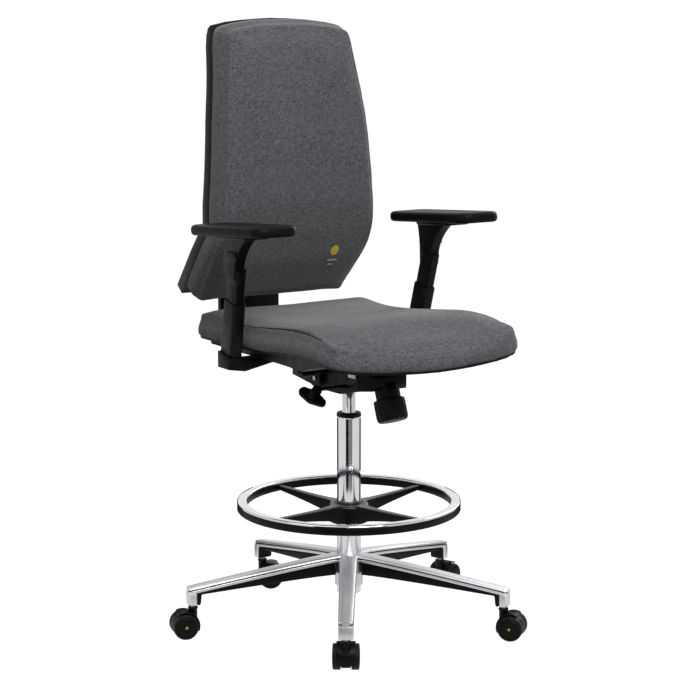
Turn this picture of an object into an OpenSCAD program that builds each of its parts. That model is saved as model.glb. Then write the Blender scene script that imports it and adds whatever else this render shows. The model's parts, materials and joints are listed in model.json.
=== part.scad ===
// Drafting chair: five-leg castor base, gas lift, foot ring, synchro tilt
// mechanism, upholstered seat and back, height-adjustable armrests.
// Origin on the floor under the column axis. The chair's front faces -Y.

/* [Base] */
// Radius from the column axis to the end of a leg
leg_reach = 345; // [320:5:370]
// Height of the top of a leg end above the floor
leg_tip_z = 104; // [98:1:112]
// Height of the top of the hub above the floor
hub_top_z = 150; // [140:1:160]
// Turn of the leg nearest the front, away from straight ahead
base_turn = 33; // [0:1:71]
// Width of a leg at the hub
leg_w = 38; // [32:1:42]

/* [Castors] */
// Wheel diameter
wheel_d = 52; // [48:1:54]
// Width of one wheel
wheel_w = 17; // [14:1:18]
// Gap between the two wheels
wheel_gap = 21; // [20:1:24]
// Distance from the swivel axis back to the axle
castor_trail = 19; // [16:1:22]

/* [Gas lift] */
// Outer diameter of the fixed tube
tube_d = 50; // [46:1:54]
// Height of the top of the fixed tube
tube_top_z = 441; // [420:1:460]
// Outer diameter of the sliding pressure tube
rod_d = 28; // [26:1:28]

/* [Foot ring] */
// Outer diameter of the ring
ring_d = 464; // [440:2:480]
// Radial width of the ring
ring_w = 20; // [16:1:24]
// Height of the top of the ring
ring_top_z = 266; // [240:1:300]
// Height of the ring's section
ring_h = 20; // [16:1:24]

/* [Seat] */
// Height of the flat underside of the seat pan
pan_under_z = 572; // [568:1:580]
// Distance the lower edge of the pan is set back under the seam
pan_setback = 20; // [10:1:26]

/* [Back] */
// Thickness of the back cushion
back_cushion_t = 58; // [45:1:65]
// Thickness of the rear shell
back_shell_t = 25; // [16:1:28]
// Width of the upright bar
upright_w = 147; // [120:1:160]

/* [Arms] */
// Distance from the centre plane to the foot of an arm
arm_x = 225; // [224:1:232]
// Forward lean of the stems
arm_lean = 14; // [10:0.5:15]
// Outward lean of the stems
arm_splay = 2.5; // [0:0.5:4]
// Length of a pad
pad_l = 290; // [260:1:300]
// Width of a pad
pad_w = 100; // [84:1:104]

/* [Hidden] */
$fn = 64;

chrome = "silver";
alloy = "gainsboro";
plastic = "#1c1c1e";
satin = "#4a4c50";
steel = "#7d8086";
fabric = "#595b5f";

// ---- helpers ----
// Rectangle with true round corners
module round_rect(w, d, r) {
    square([w - 2 * r, d], center = true);
    square([w, d - 2 * r], center = true);
    for (x = [-1, 1], y = [-1, 1]) translate([x * (w / 2 - r), y * (d / 2 - r)]) circle(r);
}
// Extrudes a [y, z] outline across x, from -w/2 to w/2
module side_plate(w) {
    rotate([90, 0, 90]) translate([0, 0, -w / 2]) linear_extrude(w) children();
}
// A point on a quadratic curve through a, pulled by b, to c
function bend(a, b, c, t) = (1 - t) * (1 - t) * a + 2 * t * (1 - t) * b + t * t * c;
function arc_of(a, b, c, n = 8) = [for (i = [0 : n]) bend(a, b, c, i / n)];
function unit(v) = v / norm(v);
function side_of(v) = [-v[1], v[0]];
function way_at(line, i) = unit(line[min(i + 1, len(line) - 1)] - line[max(i - 1, 0)]);
// The line moved sideways by d, to its left
function shifted(line, d) = [for (i = [0 : len(line) - 1]) line[i] + d * side_of(way_at(line, i))];
function backwards(line) = [for (i = [len(line) - 1 : -1 : 0]) line[i]];
function mirrored(line) = [for (p = backwards(line)) [-p[0], p[1]]];

// ---- base ----
leg_step = 72;
front_way = -90;
function leg_way(k) = front_way - base_turn - leg_step * k;
tip_t = 18;
boss_l = 23;
boss_bottom_z = 68;
rail_t = 13;
hub_r = 29;
tube_r = tube_d / 2;
hub_bottom_z = 84;
stem_at = leg_reach - 11;
castor_stem_r = 5.5;
stem_bottom_z = 40;
stem_top_z = 88;
leg_top = arc_of([20, hub_top_z], [75, hub_top_z - 3], [leg_reach, leg_tip_z]);
leg_under = arc_of([20, hub_top_z - rail_t], [75, hub_top_z - rail_t - 3],
                   [leg_reach - tip_t, leg_tip_z - 9]);
infill_drop = 29;
infill_w = leg_w - 7;

module each_leg() {
    for (k = [0 : 4]) rotate(leg_way(k)) children();
}
module leg_plan(w) {
    linear_extrude(200)
        polygon([[0, -w / 2], [leg_reach - boss_l, 5 - w / 2], [leg_reach, 7 - w / 2],
                 [leg_reach, w / 2 - 7], [leg_reach - boss_l, w / 2 - 5], [0, w / 2]]);
}
module base_star() {
    color(alloy) difference() {
        union() {
            translate([0, 0, hub_bottom_z]) cylinder(h = hub_top_z - 2 - hub_bottom_z, r = hub_r);
            each_leg() intersection() {
                leg_plan(leg_w);
                rotate([90, 0, 0]) translate([0, 0, -leg_w / 2]) linear_extrude(leg_w)
                    polygon(concat(leg_top, [[leg_reach, boss_bottom_z],
                        [leg_reach - tip_t, boss_bottom_z]], backwards(leg_under)));
            }
        }
        translate([0, 0, hub_bottom_z - 1]) cylinder(h = 90, r = tube_r);
        each_leg() translate([stem_at, 0, boss_bottom_z - 1])
            cylinder(h = stem_top_z - boss_bottom_z + 1, r = castor_stem_r);
    }
}
module base_leg_infills() {
    infill_in = hub_r + 1;
    infill_out = leg_reach - tip_t;
    boss_in = leg_reach - boss_l;
    under = arc_of([20, hub_top_z - infill_drop - rail_t], [90, hub_top_z - infill_drop - rail_t],
                   [boss_in, leg_tip_z - 14]);
    color(plastic) each_leg() intersection() {
        translate([infill_in, -infill_w / 2, 0]) cube([infill_out - infill_in, infill_w, 200]);
        leg_plan(infill_w + 6);
        rotate([90, 0, 0]) translate([0, 0, -infill_w / 2]) linear_extrude(infill_w)
            polygon(concat(leg_under, [[infill_out, boss_bottom_z], [boss_in, boss_bottom_z]],
                           backwards(under)));
    }
}
module castor_stems() {
    color(steel) each_leg() translate([stem_at, 0, stem_bottom_z])
        cylinder(h = stem_top_z - stem_bottom_z, r = castor_stem_r);
}

// ---- gas lift ----
tube_bottom_z = 68;
tube_wall = 1.5;
floor_t = 4;
bush_l = 70;
rod_r = rod_d / 2;
run_gap = 0.05;
rod_bottom_z = 122;
rod_top_z = 538;
piston_r = 5;
piston_z = 385;
valve_r = 3;
rod_wall = 1.6;
end_plug = 14;

module lift_outer_tube() {
    color(chrome) difference() {
        translate([0, 0, tube_bottom_z]) cylinder(h = tube_top_z - tube_bottom_z, r = tube_r);
        translate([0, 0, tube_bottom_z + floor_t])
            cylinder(h = tube_top_z, r = tube_r - tube_wall);
        translate([0, 0, tube_bottom_z - 1]) cylinder(h = 10, r = piston_r + 1);
    }
}
module lift_tube_collar() {
    color(plastic) difference() {
        translate([0, 0, tube_top_z]) cylinder(h = 9, r = tube_r + 0.6);
        translate([0, 0, tube_top_z - 1]) cylinder(h = 11, r = rod_r + 0.3);
    }
}
module lift_guide_bush() {
    color(plastic) difference() {
        translate([0, 0, tube_top_z - bush_l]) cylinder(h = bush_l, r = tube_r - tube_wall);
        translate([0, 0, tube_top_z - bush_l - 1]) cylinder(h = bush_l + 2, r = rod_r + run_gap);
    }
}
module lift_thrust_bearing() {
    color(steel) difference() {
        translate([0, 0, tube_bottom_z + floor_t]) cylinder(h = 10, r = 14);
        translate([0, 0, tube_bottom_z]) cylinder(h = 20, r = piston_r);
    }
}
module lift_piston_rod() {
    color(steel) {
        translate([0, 0, tube_bottom_z - 6]) cylinder(h = piston_z - tube_bottom_z + 6, r = piston_r);
        translate([0, 0, piston_z]) cylinder(h = 12, r = rod_r - rod_wall - run_gap);
    }
}
module lift_base_clip() {
    color(steel) difference() {
        translate([0, 0, tube_bottom_z - 3]) cylinder(h = 2.5, r = 11);
        translate([0, 0, tube_bottom_z - 4]) cylinder(h = 5, r = piston_r);
    }
}
module lift_pressure_tube() {
    color(chrome) difference() {
        translate([0, 0, rod_bottom_z]) cylinder(h = rod_top_z - rod_bottom_z, r = rod_r);
        translate([0, 0, rod_bottom_z + end_plug])
            cylinder(h = rod_top_z - rod_bottom_z - 2 * end_plug, r = rod_r - rod_wall);
        translate([0, 0, rod_bottom_z - 1]) cylinder(h = end_plug + 2, r = piston_r + run_gap);
        translate([0, 0, rod_top_z - end_plug - 1]) cylinder(h = end_plug + 2, r = valve_r + run_gap);
    }
}
module lift_valve_pin() {
    color(steel) translate([0, 0, rod_top_z - end_plug - 4]) cylinder(h = end_plug + 9, r = valve_r);
}

// ---- foot ring ----
ring_r = ring_d / 2;
trim_h = 4;
spider_r = 41;
spider_top_z = ring_top_z - 8;
spider_bottom_z = ring_top_z - 47;
collet_r = 31;
spoke_turn = 13;

module ring_band(z, h, inset) {
    translate([0, 0, z]) difference() {
        cylinder(h = h, r = ring_r - inset);
        translate([0, 0, -1]) cylinder(h = h + 2, r = ring_r - ring_w + inset);
    }
}
module footring_rim() {
    color(plastic) difference() {
        ring_band(ring_top_z - ring_h, ring_h - trim_h, 0);
        for (k = [0 : 3]) rotate(spoke_turn + 90 * k)
            translate([ring_r - ring_w - 5, -4.5, ring_top_z - ring_h + 4]) cube([13, 9, 9]);
    }
}
module footring_trim() {
    color(chrome) ring_band(ring_top_z - trim_h, trim_h, 0);
}
module footring_spider() {
    spoke_end = ring_r - ring_w;
    color(satin) {
        difference() {
            union() {
                translate([0, 0, spider_bottom_z])
                    cylinder(h = spider_top_z - spider_bottom_z, r = spider_r);
                for (k = [0 : 3]) rotate(spoke_turn + 90 * k) intersection() {
                    rotate([90, 0, 0]) translate([0, 0, -20]) linear_extrude(40)
                        polygon(concat(
                            arc_of([30, spider_top_z], [70, spider_top_z - 3],
                                   [spoke_end, ring_top_z - 6]),
                            [[spoke_end, ring_top_z - 16]],
                            arc_of([spoke_end - 6, ring_top_z - 16], [90, spider_bottom_z + 18],
                                   [30, spider_bottom_z + 2])));
                    linear_extrude(400) polygon([[30, -17], [70, -8.5], [spoke_end, -5],
                        [spoke_end, 5], [70, 8.5], [30, 17]]);
                }
                for (k = [0 : 3]) rotate(spoke_turn + 90 * k)
                    translate([spoke_end - 1, -4.5, ring_top_z - ring_h + 4]) cube([9, 9, 9]);
            }
            translate([0, 0, spider_bottom_z - 1]) cylinder(h = 60, r = collet_r);
        }
    }
}
module footring_collet() {
    color(plastic) difference() {
        translate([0, 0, spider_bottom_z]) cylinder(h = spider_top_z - spider_bottom_z, r = collet_r);
        translate([0, 0, spider_bottom_z - 1]) cylinder(h = 60, r = tube_r + run_gap);
        translate([collet_r - 7, -1, spider_bottom_z - 1]) cube([10, 2, 60]);
    }
}
module footring_screws() {
    color(steel) for (k = [0 : 1]) rotate(spoke_turn + 135 + 180 * k)
        translate([spider_r, 0, spider_bottom_z + 12]) rotate([0, 90, 0]) difference() {
            cylinder(h = 5, r = 5);
            translate([0, 0, 2]) cylinder(h = 4, r = 2.6, $fn = 6);
        }
}

// ---- tilt mechanism ----
mech_w = 116;
mech_wall = 4;
tilt_pivot = [20, 524];
seat_pivot = [-112, 556];
pin_r = 5;
lug_t = 8;
knob_top = [-145, 516];
knob_tilt = 21;
knob_r = 32;
knob_l = 45;
neck_l = 16;
neck_r = 25;
lever_pivot = [-78, 521];
lock_pivot = [-16, 543];
mech_outline = [[-160, 530], [-152, 520], [-120, 517], [-60, 502], [40, 500], [58, 506], [64, 520],
                [62, 536], [-110, 558], [-130, 560], [-158, 548]];
mech_cavity = [[-150, 535], [-146, 526], [-118, 522], [-58, 507], [38, 505], [53, 510], [59, 521],
               [59, 570], [-152, 570]];
mech_nose_w = 66;
lever_r = 4;

module knob_frame() {
    translate([0, knob_top[0], knob_top[1]]) rotate([180 - knob_tilt, 0, 0]) children();
}
module mech_plan(inset) {
    wide = mech_w / 2 - inset;
    nose = mech_nose_w / 2 - inset;
    translate([0, 0, 480]) linear_extrude(100)
        polygon([[nose, -165], [wide, -124], [wide, 70], [-wide, 70], [-wide, -124], [-nose, -165]]);
}
module cross_bore(at, r, l) {
    translate([-l / 2, at[0], at[1]]) rotate([0, 90, 0]) cylinder(h = l, r = r);
}
module mech_housing() {
    color(plastic) difference() {
        union() {
            difference() {
                intersection() {
                    side_plate(mech_w) polygon(mech_outline);
                    mech_plan(0);
                }
                intersection() {
                    side_plate(mech_w) polygon(mech_cavity);
                    mech_plan(mech_wall);
                }
            }
            translate([0, 0, 500]) cylinder(h = 40, r = 21);
            knob_frame() translate([0, 0, -14]) cylinder(h = neck_l + 14, r = neck_r);
        }
        translate([0, 0, 480]) cylinder(h = 80, r = rod_r);
        knob_frame() translate([0, 0, -30]) cylinder(h = 80, r = 5 + run_gap);
        cross_bore(tilt_pivot, pin_r, 200);
        cross_bore(seat_pivot, pin_r, 200);
        cross_bore(lever_pivot, lever_r + run_gap, 200);
        cross_bore(lock_pivot, lever_r + run_gap, 200);
    }
}
// Compression spring as a swept wire
spring_r = 14;
spring_wire = 3;
spring_turns = 5;
spring_pitch = 9;
spring_at = [-98, 537];
ring_steps = 12;
wire_sides = 8;
function coil_point(i) = let (a = 360 * i / ring_steps)
    [spring_r * cos(a), spring_r * sin(a), spring_pitch * i / ring_steps];
function coil_ring(i) = let (a = 360 * i / ring_steps, c = coil_point(i))
    [for (j = [0 : wire_sides - 1]) let (b = 360 * j / wire_sides)
        c + spring_wire * (cos(b) * [cos(a), sin(a), 0] + sin(b) * [0, 0, 1])];
module mech_spring() {
    rings = ring_steps * spring_turns;
    pts = [for (i = [0 : rings]) each coil_ring(i)];
    last = rings * wire_sides;
    sides = [for (i = [0 : rings - 1]) for (j = [0 : wire_sides - 1]) let (k = (j + 1) % wire_sides)
        [i * wire_sides + j, i * wire_sides + k, (i + 1) * wire_sides + k, (i + 1) * wire_sides + j]];
    color(steel) translate([0, spring_at[0], spring_at[1]]) rotate([-90, 0, 0])
        polyhedron(pts, concat(sides, [[for (j = [wire_sides - 1 : -1 : 0]) j]],
            [[for (j = [0 : wire_sides - 1]) last + j]]));
}
module mech_pivot_pins() {
    color(steel) for (at = [tilt_pivot, seat_pivot]) cross_bore(at, pin_r, mech_w + 2 * lug_t + 12);
}
module tension_knob() {
    ribs = 20;
    color(plastic) knob_frame() difference() {
        union() {
            translate([0, 0, neck_l + 0.5]) cylinder(h = knob_l - 6, r = knob_r);
            translate([0, 0, neck_l + knob_l - 5.5]) cylinder(h = 6, r1 = knob_r, r2 = knob_r - 5);
        }
        for (k = [0 : ribs - 1]) rotate(360 / ribs * k)
            translate([knob_r + 1.2, 0, neck_l + 6]) cylinder(h = knob_l + 4, r = 2.4);
        translate([0, 0, neck_l - 1]) cylinder(h = knob_l - 12, r = 5);
    }
}
module tension_screw() {
    color(steel) knob_frame() translate([0, 0, -13]) cylinder(h = neck_l + knob_l - 1, r = 5);
}
module lift_lever() {
    shaft_l = 92;
    paddle = [-136, -82, 507];
    // The leaf-shaped paddle leans towards the sitter's right hand
    face_tilt = 45;
    face_way = -122;
    leaf_t = 9;
    half_leaf = [10, -17, -9];
    color(plastic) {
        translate([-mech_w / 2 - shaft_l + 12, lever_pivot[0], lever_pivot[1]]) rotate([0, 90, 0])
            cylinder(h = shaft_l, r = lever_r);
        hull() {
            translate([-130, lever_pivot[0], lever_pivot[1]]) rotate([0, 90, 0])
                cylinder(h = 14, r = 8, $fn = 24);
            translate(paddle) rotate([0, face_tilt, face_way])
                cylinder(h = leaf_t, r = 9, center = true, $fn = 24);
        }
        hull() for (leaf = [[-1, 11], [0, 15], [1, 9]]) translate(paddle + leaf[0] * half_leaf)
            rotate([0, face_tilt, face_way])
                cylinder(h = leaf_t, r = leaf[1], center = true, $fn = 32);
    }
}
module lock_lever() {
    color(plastic) {
        translate([-mech_w / 2 - 60, lock_pivot[0], lock_pivot[1]]) rotate([0, 90, 0])
            cylinder(h = 72, r = lever_r);
        translate([-mech_w / 2 - 70, lock_pivot[0], lock_pivot[1]]) rotate([0, 90, 0])
            rotate(90) linear_extrude(34) round_rect(26, 10, 4.9);
    }
}

// ---- seat ----
plate_t = 4;
pan_wall = 5;
seam_line = concat(arc_of([284, 594], [150, 590], [30, 595], 5),
                   arc_of([0, 597], [-110, 609], [-200, 613], 5),
                   arc_of([-225, 613.5], [-290, 610], [-330, 587], 6));
function seat_half(inset) = concat(
    arc_of([0, -330 + inset], [110, -328 + inset], [178, -310 + inset], 5),
    arc_of([190 - inset, -306 + inset], [222 - inset, -298 + inset], [222 - inset, -266], 4),
    arc_of([219 - inset, -215], [207 - inset, -130], [205 - inset, -30], 4),
    arc_of([204 - inset, 70], [206 - inset, 150], [211 - inset, 225], 3),
    arc_of([213 - inset, 250 - inset], [212 - inset, 277 - inset], [176 - inset, 281 - inset], 4),
    [[0, 285 - inset]]);
module seat_plan(inset) {
    half = seat_half(inset);
    translate([0, 0, 500]) linear_extrude(250) polygon(concat(half, mirrored(half)));
}
module seat_plate() {
    color(steel) difference() {
        union() {
            translate([-92, -140, pan_under_z - plate_t]) cube([184, 250, plate_t]);
            for (s = [-1, 1]) translate([s * (mech_w / 2 + 5), 0, 0])
                side_plate(4) polygon([[seat_pivot[0] - 14, pan_under_z - plate_t],
                    [seat_pivot[0] - 11, seat_pivot[1] - 12], [seat_pivot[0] + 11, seat_pivot[1] - 12],
                    [seat_pivot[0] + 14, pan_under_z - plate_t]]);
        }
        cross_bore(seat_pivot, pin_r + run_gap, 200);
        for (x = [-75, 75], y = [-120, 90]) translate([x, y, 560]) cylinder(h = 20, r = 3.3);
    }
}
module seat_pan() {
    under = [[284, 583], [262, pan_under_z + 4], [150, pan_under_z], [-130, pan_under_z],
             [-190, 590], [-260, 599], [-330, 579]];
    lip = [for (p = seam_line) [p[0], p[1] - 7]];
    floor_line = [for (p = under) [p[0], p[1] + pan_wall]];
    color(plastic) difference() {
        union() {
            intersection() {
                seat_plan(4);
                side_plate(500) polygon(concat(seam_line, backwards(lip)));
            }
            intersection() {
                seat_plan(pan_setback);
                side_plate(500)
                    polygon(concat([for (p = seam_line) [p[0], p[1] - 1]], backwards(under)));
            }
        }
        // Hollow towards the cushion
        intersection() {
            seat_plan(pan_setback + pan_wall);
            side_plate(500)
                polygon(concat([for (p = seam_line) [p[0], p[1] + 1]], backwards(floor_line)));
        }
    }
}
module seat_cushion() {
    crown = concat(arc_of([-330, 604], [-318, 640], [-275, 652], 4),
                   arc_of([-240, 659], [-180, 668], [-120, 660], 3),
                   arc_of([0, 647], [130, 636], [240, 642], 4),
                   [[272, 640], [284, 622]]);
    color(fabric) intersection() {
        seat_plan(2);
        side_plate(500) polygon(concat(seam_line, crown));
    }
}
module seat_screws() {
    color(steel) {
        for (x = [-75, 75], y = [-120, 90]) translate([x, y, pan_under_z - plate_t - 4])
            cylinder(h = 4, r = 6);
        for (s = [-1, 1], y = [arm_y - 14, arm_y + 14])
            translate([s * 116, y, bracket_under_z - 4]) cylinder(h = 4, r = 6);
    }
}

// ---- recline arm and back ----
upright_y = 411;
upright_t = 14;
beam_w = 96;
cheek_x = mech_w / 2 + 2.5;
module recline_arm() {
    beam = [[76, 516], [130, 520], [300, 534], [380, 540], [upright_y + 20, 552],
            [upright_y + 22, 600], [upright_y + upright_t, 600], [upright_y + upright_t, 566],
            [upright_y - 8, 564], [300, 556], [130, 548], [76, 544]];
    color(plastic) {
        difference() {
            union() {
                for (s = [-1, 1]) translate([s * (cheek_x + lug_t / 2), 0, 0]) {
                    side_plate(lug_t) polygon([[tilt_pivot[0], tilt_pivot[1] - 17], [112, 518],
                        [112, 546], [tilt_pivot[0], tilt_pivot[1] + 17]]);
                    cross_bore(tilt_pivot, 17, lug_t);
                }
                side_plate(2 * cheek_x + 1) intersection() {
                    polygon(beam);
                    translate([70, 480]) square([42, 100]);
                }
            }
            cross_bore(tilt_pivot, pin_r + run_gap, 200);
        }
        side_plate(beam_w) polygon(beam);
    }
}
upright_edge = concat([[upright_w / 2, 590]], arc_of([upright_w / 2, 782],
    [upright_w / 2, 806], [upright_w / 2 - 24, 806], 4));
module back_upright() {
    color(plastic) translate([0, upright_y, 0]) rotate([90, 0, 0]) mirror([0, 0, 1])
        linear_extrude(upright_t) polygon(concat([[0, 566], [beam_w / 2, 566]], upright_edge,
            mirrored(upright_edge), [[-beam_w / 2, 566]]));
}
// The front face of the back, from its lower edge up, as [y, z]
back_line = concat([[319, 643], [272, 696]],
                   arc_of([212, 764], [188, 791], [187, 828], 6),
                   arc_of([187, 920], [190, 1040], [208, 1145], 5),
                   [[241, 1290]]);
function back_half(inset) = concat(
    [[0, 630], [166, 630]],
    [[184 - inset, 655], [190 - inset, 760], [190 - inset, 860], [177 - inset, 1040]],
    arc_of([163 - inset, 1160], [158 - inset, 1226 - inset], [144 - inset, 1231 - inset], 4),
    arc_of([110, 1238 - inset], [60, 1244 - inset], [0, 1245 - inset], 3));
module back_front(inset) {
    half = back_half(inset);
    translate([0, 100, 0]) rotate([90, 0, 0]) mirror([0, 0, 1]) linear_extrude(400)
        polygon(concat(half, mirrored(half)));
}
module back_band(line, d0, d1) {
    side_plate(420) polygon(concat(shifted(line, d0), backwards(shifted(line, d1))));
}
module back_cushion() {
    color(fabric) intersection() {
        back_front(2);
        back_band(back_line, 0, -back_cushion_t);
    }
}
module back_shell() {
    // The shell runs on below the cushion along the same slope
    line = concat([[335, 625]], [for (i = [1 : len(back_line) - 1]) back_line[i]]);
    color(plastic) difference() {
        intersection() {
            back_front(-2);
            back_band(line, -back_cushion_t, shell_back);
        }
        // Hollow towards the cushion, with a rim all round
        intersection() {
            translate([0, 0, 40]) back_front(shell_wall + 2);
            back_band(back_line, 1 - back_cushion_t, shell_back + shell_wall);
        }
    }
}
shell_wall = 5;
cover_w = 182;
shell_back = -back_cushion_t - back_shell_t;
cover_outer = [[upright_y + 33, 712], [upright_y + 33, 790], [upright_y + 10, 850], [330, 950]];
module back_cover() {
    inner = [[upright_y + 29, 700], [upright_y + 29, 789], [upright_y + 7, 847], [326, 942]];
    color(plastic) difference() {
        side_plate(cover_w) polygon(concat(cover_outer, cover_front(0)));
        side_plate(cover_w - 8) polygon(concat(inner, cover_front(-40)));
    }
}
// The cover's front edge lies along the back of the shell
function cover_front(d) = let (s = shifted(back_line, shell_back - d))
    [for (i = [10 : -1 : 1]) s[i]];
module back_slider() {
    gap = 0.3;
    color(satin) difference() {
        translate([-upright_w / 2 - 12, upright_y - 9, 712]) cube([upright_w + 24, 38, 76]);
        translate([-upright_w / 2 - gap, upright_y - gap, 700])
            cube([upright_w + 2 * gap, upright_t + 2 * gap, 100]);
    }
}
module back_screws() {
    color(steel) for (x = [-85, 85], z = [726, 776])
        translate([x, upright_y + 33, z]) rotate([-90, 0, 0]) cylinder(h = 4, r = 4);
}

// ---- arms ----
arm_y = 92;
sleeve_bottom_z = 577.5;
sleeve_l = 115;
sleeve_w = 29;
sleeve_d = 47;
stem_w = 23;
stem_d = 41;
slide_gap = 0.15;
tongue_w = 18;
tongue_d = 36;
bracket_under_z = 556;
arm_names = ["left", "right"];
function arm_side(name) = name == "left" ? 1 : -1;
pad_at = [240, 13, 839];
pad_t = 22;
pad_tilt = 4.25;
module arm_frame(s) {
    translate([s * arm_x, arm_y, sleeve_bottom_z]) rotate([arm_lean, s * arm_splay, 0]) children();
}
module arm_bracket(s) {
    outline = [[95, pan_under_z], [95, bracket_under_z], [140, bracket_under_z], [205, 543],
        [243, 549], [243, 585], [209, 585], [209, 566], [140, 566], [134, pan_under_z]];
    color(plastic) union() {
        difference() {
            translate([0, arm_y - 24, 0]) rotate([90, 0, 0]) mirror([0, 0, 1]) linear_extrude(48)
            scale([s, 1]) polygon(outline);
            arm_frame(s) translate([-40, -40, 0]) cube([80, 80, 60]);
        }
        arm_frame(s) translate([0, 0, -8]) linear_extrude(17) round_rect(tongue_w, tongue_d, 5);
    }
}
module arm_sleeve(s) {
    color(plastic) arm_frame(s) difference() {
        linear_extrude(sleeve_l) round_rect(sleeve_w, sleeve_d, 8);
        translate([0, 0, 9]) linear_extrude(sleeve_l)
            round_rect(stem_w + 2 * slide_gap, stem_d + 2 * slide_gap, 6 + slide_gap);
        translate([0, 0, -1]) linear_extrude(11) round_rect(tongue_w, tongue_d, 5);
    }
}
head_x = 235;
button_at = [245, 45, 787];
button_w = 34;
button_h = 12;
press = 3;
module button_block(s, grow, deep) {
    translate([s * (button_at[0] - deep / 2), button_at[1], button_at[2]])
        cube([9 + deep, button_w + 2 * grow, button_h + 2 * grow], center = true);
}
module arm_stem(s) {
    head = [[87, 822], [80, 800], [76, 766], [75, 735], [37, 735], [30, 772], [13, 803], [-10, 821],
            [-26, 830]];
    color(plastic) difference() {
        union() {
            arm_frame(s) translate([0, 0, 40]) linear_extrude(150) round_rect(stem_w, stem_d, 6);
            translate([s * head_x, 0, 0]) side_plate(stem_w) polygon(head);
            translate([s * pad_at[0], 15, 824.6]) rotate([-pad_tilt, 0, 0])
                translate([0, 0, -3]) linear_extrude(5) round_rect(56, 128, 12);
        }
        button_block(s, 0.3, press);
    }
}
module arm_pad(s) {
    color(plastic) translate([s * pad_at[0], pad_at[1], pad_at[2]]) rotate([-pad_tilt, 0, 0])
        translate([0, 0, -pad_t / 2]) linear_extrude(pad_t) round_rect(pad_w, pad_l, 26);
}
module arm_button(s) {
    color(satin) button_block(s, 0, 0);
}

// ---- castors ----
wheel_r = wheel_d / 2;
axle_r = 4;
// Each castor trails outwards, but for the front one, which trails inwards, and the rear one
rear_turn = -32;
function castor_way(k) = k == 1 ? leg_way(0) + 180 : k == 3 ? rear_turn : leg_way(k - 1);
module castor_frame(k) {
    a = leg_way(k - 1);
    translate([stem_at * cos(a), stem_at * sin(a), 0]) rotate(castor_way(k)) children();
}
module across(w) {
    translate([castor_trail, w / 2, wheel_r]) rotate([90, 0, 0]) linear_extrude(w) children();
}
module castor_hood(k) {
    web = wheel_gap - 2;
    hood_reach = [[0, 0], [-60, -22], [-60, 60], [24, 60]];
    color(plastic) castor_frame(k) difference() {
        union() {
            translate([0, 0, 38]) cylinder(h = 25, r = 9);
            across(web) difference() {
                circle(wheel_r - 2);
                translate([-6, -40]) square([60, 28]);
            }
            across(38) intersection() {
                difference() {
                    circle(wheel_r + 4.5);
                    circle(wheel_r + 1);
                }
                polygon(hood_reach);
            }
            across(web) intersection() {
                circle(wheel_r + 4.5);
                polygon(hood_reach);
            }
        }
        translate([0, 0, 39]) cylinder(h = 60, r = castor_stem_r + run_gap);
        across(100) circle(axle_r);
    }
}
module castor_axle(k) {
    color(steel) castor_frame(k) across(wheel_gap + 2 * wheel_w - 6) circle(axle_r);
}
module castor_wheels(k) {
    color("#26272a") castor_frame(k) for (s = [-1, 1])
        translate([castor_trail, s * wheel_gap / 2, wheel_r]) rotate([s * -90, 0, 0])
            rotate_extrude() polygon([[axle_r + run_gap, 0], [wheel_r - 2, 0], [wheel_r, 2],
                [wheel_r, wheel_w - 4], [wheel_r - 3, wheel_w - 0.5], [wheel_r - 5, wheel_w - 1.5],
                [wheel_r - 7, wheel_w - 1.5], [wheel_r - 9, wheel_w], [axle_r + run_gap, wheel_w]]);
}

// ---- every node ----
base_star();
base_leg_infills();
castor_stems();
lift_outer_tube();
lift_tube_collar();
lift_guide_bush();
lift_thrust_bearing();
lift_piston_rod();
lift_base_clip();
lift_pressure_tube();
lift_valve_pin();
footring_spider();
footring_rim();
footring_trim();
footring_collet();
footring_screws();
mech_housing();
mech_spring();
mech_pivot_pins();
tension_knob();
tension_screw();
lift_lever();
lock_lever();
seat_plate();
seat_pan();
seat_cushion();
seat_screws();
recline_arm();
back_upright();
back_slider();
back_cover();
back_shell();
back_cushion();
back_screws();
for (s = arm_names) {
    arm_bracket(arm_side(s));
    arm_sleeve(arm_side(s));
    arm_stem(arm_side(s));
    arm_pad(arm_side(s));
    arm_button(arm_side(s));
}
for (k = [1 : 5]) {
    castor_hood(k);
    castor_axle(k);
    castor_wheels(k);
}
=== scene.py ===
import json
import math

import bmesh
import bpy
import numpy as np
from mathutils import Matrix, Vector
from mathutils.kdtree import KDTree


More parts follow.
